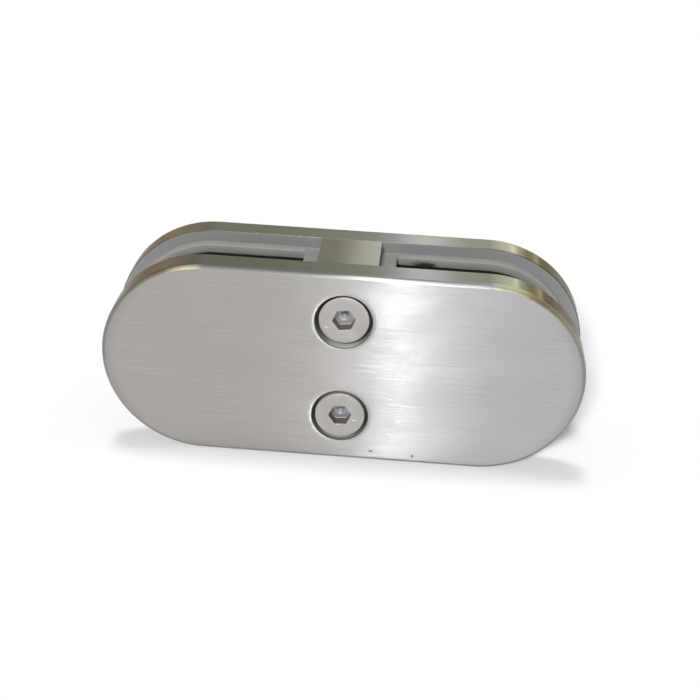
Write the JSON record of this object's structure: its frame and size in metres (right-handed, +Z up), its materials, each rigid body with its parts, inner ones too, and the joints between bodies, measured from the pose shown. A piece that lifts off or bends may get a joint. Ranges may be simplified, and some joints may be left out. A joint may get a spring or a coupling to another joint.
{
  "type": "glass panel clamp",
  "caption": "Round-ended double clamp of two brushed plates on a central bridge, drawn together by socket screws, with a rubber-lined slot at each end for a glass panel.",
  "frame": {"origin": "middle of the clamp's length and depth, on the level of the straight lower edges that it stands on", "axes": "+X along the clamp, +Y from the front half towards the rear plate, +Z up; the show face with the screw heads looks towards -Y"},
  "size_m": [0.096, 0.0228, 0.041],
  "materials": {
    "plate_steel": "brushed along its length",
    "screw_steel": "turned, satin",
    "insert_rubber": "matt grey"
  },
  "bodies": {
    "front": {"front_half": "plate_steel", "left_insert": "insert_rubber", "right_insert": "insert_rubber"},
    "rear": {"rear_plate": "plate_steel"},
    "upper_screw": {"upper_screw": "screw_steel"},
    "lower_screw": {"lower_screw": "screw_steel"}
  },
  "joints": [
    {"name": "upper_screw_turn", "type": "hinge", "parent": "front", "child": "upper_screw", "pos_m": [0, 0, 0.031], "axis": [0, -1, 0], "range_deg": [0, 990]},
    {"name": "lower_screw_turn", "type": "hinge", "parent": "front", "child": "lower_screw", "pos_m": [0, 0, 0.01], "axis": [0, -1, 0], "range_deg": [0, 990]},
    {"name": "rear_plate_travel", "type": "slide", "parent": "front", "child": "rear", "axis": [0, 1, 0], "range_m": [0, 0.00275]}
  ],
  "couplings": [
    {"joint": "upper_screw_turn", "follows": "rear_plate_travel", "rad_per_m": 6283.2},
    {"joint": "lower_screw_turn", "follows": "rear_plate_travel", "rad_per_m": 6283.2}
  ]
}
